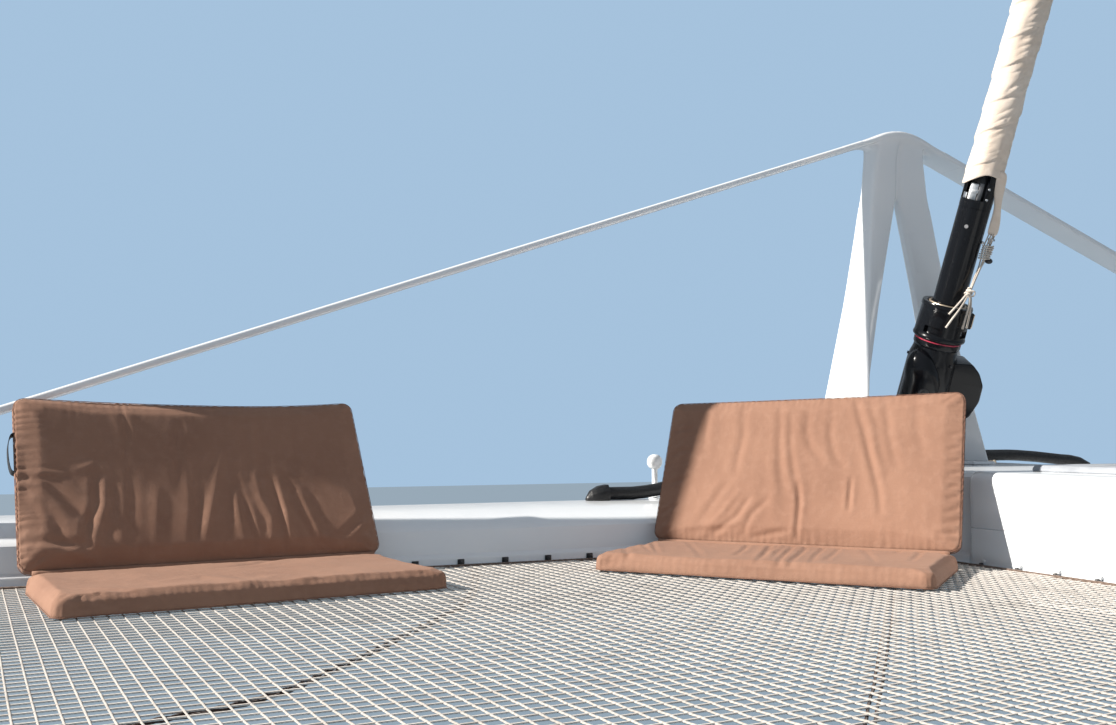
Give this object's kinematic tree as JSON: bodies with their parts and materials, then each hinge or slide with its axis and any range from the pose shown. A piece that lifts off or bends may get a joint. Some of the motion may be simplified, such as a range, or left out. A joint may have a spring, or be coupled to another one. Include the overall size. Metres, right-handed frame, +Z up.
{
  "type": "catamaran foredeck with crossbeam, striker, furled headsail, trampolines and deck seats",
  "caption": "White catamaran crossbeam and walkway with a braced striker, an electric furler with a rolled headsail, cord trampolines and brown folding deck seats.",
  "frame": {"origin": "middle of the longeron's aft end face, at the level of the trampolines", "axes": "+X to starboard, +Y forward, +Z up"},
  "size_m": [7.5606, 4.2, 2.676],
  "materials": {
    "gelcoat": "white gelcoat, glossy",
    "deck_grip": "grey non-slip deck finish",
    "steel": "brushed stainless steel",
    "black_paint": "gloss black paint",
    "red_seal": "dark red seal",
    "foil_alloy": "bright anodised alloy",
    "sailcloth": "cream sun cover cloth on the rolled sail",
    "net_cord": "off-white woven cord",
    "hem_webbing": "brown hem line with black hooks",
    "seat_cloth": "brown woven outdoor canvas",
    "black_rubber": "black rubber hose",
    "white_plastic": "white deck light"
  },
  "bodies": {
    "foredeck": {"crossbeam": "gelcoat", "longeron_lower": "gelcoat", "longeron_upper": "gelcoat", "striker_foot_port": "gelcoat", "striker_foot_starboard": "gelcoat", "striker_leg_port": "gelcoat", "striker_leg_starboard": "gelcoat", "striker_apex": "gelcoat", "striker_strap_port": "gelcoat", "striker_strap_starboard": "gelcoat", "strap_bracket_port": "gelcoat", "strap_bracket_starboard": "gelcoat", "locker_lid": "deck_grip", "beam_end_plate_port": "steel", "beam_end_plate_starboard": "steel", "longeron_end_plate": "steel", "forestay_base": "steel", "forestay_lug_port": "steel", "forestay_lug_starboard": "steel", "forestay_toggle": "steel", "forestay_wire": "steel", "forestay_eye": "steel", "halyard_swivel": "steel", "hose_clip_port": "steel", "hose_clip_middle": "steel", "hose_clip_starboard": "steel", "furler_housing": "black_paint", "furler_motor": "black_paint", "furler_seal": "red_seal", "trampoline_port": "net_cord", "trampoline_starboard": "net_cord", "trampoline_hem_port": "hem_webbing", "trampoline_hem_starboard": "hem_webbing", "outer_seat_pad": "seat_cloth", "outer_seat_hinge": "seat_cloth", "inner_seat_pad": "seat_cloth", "inner_seat_hinge": "seat_cloth", "deck_hose": "black_rubber", "hose_cover": "black_rubber", "hose_flange": "black_rubber", "deck_light": "white_plastic"},
    "furler_rotor": {"furler_collar": "black_paint", "furler_drive_tube": "black_paint", "luff_foil": "foil_alloy", "furled_sail": "sailcloth"},
    "outer_back": {"outer_seat_back": "seat_cloth"},
    "inner_back": {"inner_seat_back": "seat_cloth"}
  },
  "joints": [
    {"name": "furler_turn", "type": "hinge", "parent": "foredeck", "child": "furler_rotor", "pos_m": [0, 3.663, 0.5535], "axis": [0, -0.3979, 0.9174], "continuous": true},
    {"name": "outer_back_fold", "type": "hinge", "parent": "foredeck", "child": "outer_back", "pos_m": [-2.62939, 3.47011, 0.0575], "axis": [0.991, 0.134, 0], "range_deg": [-5, 117]},
    {"name": "inner_back_fold", "type": "hinge", "parent": "foredeck", "child": "inner_back", "pos_m": [-0.93225, 3.20035, 0.0575], "axis": [0.6374, -0.7705, 0], "range_deg": [-5, 111]}
  ]
}
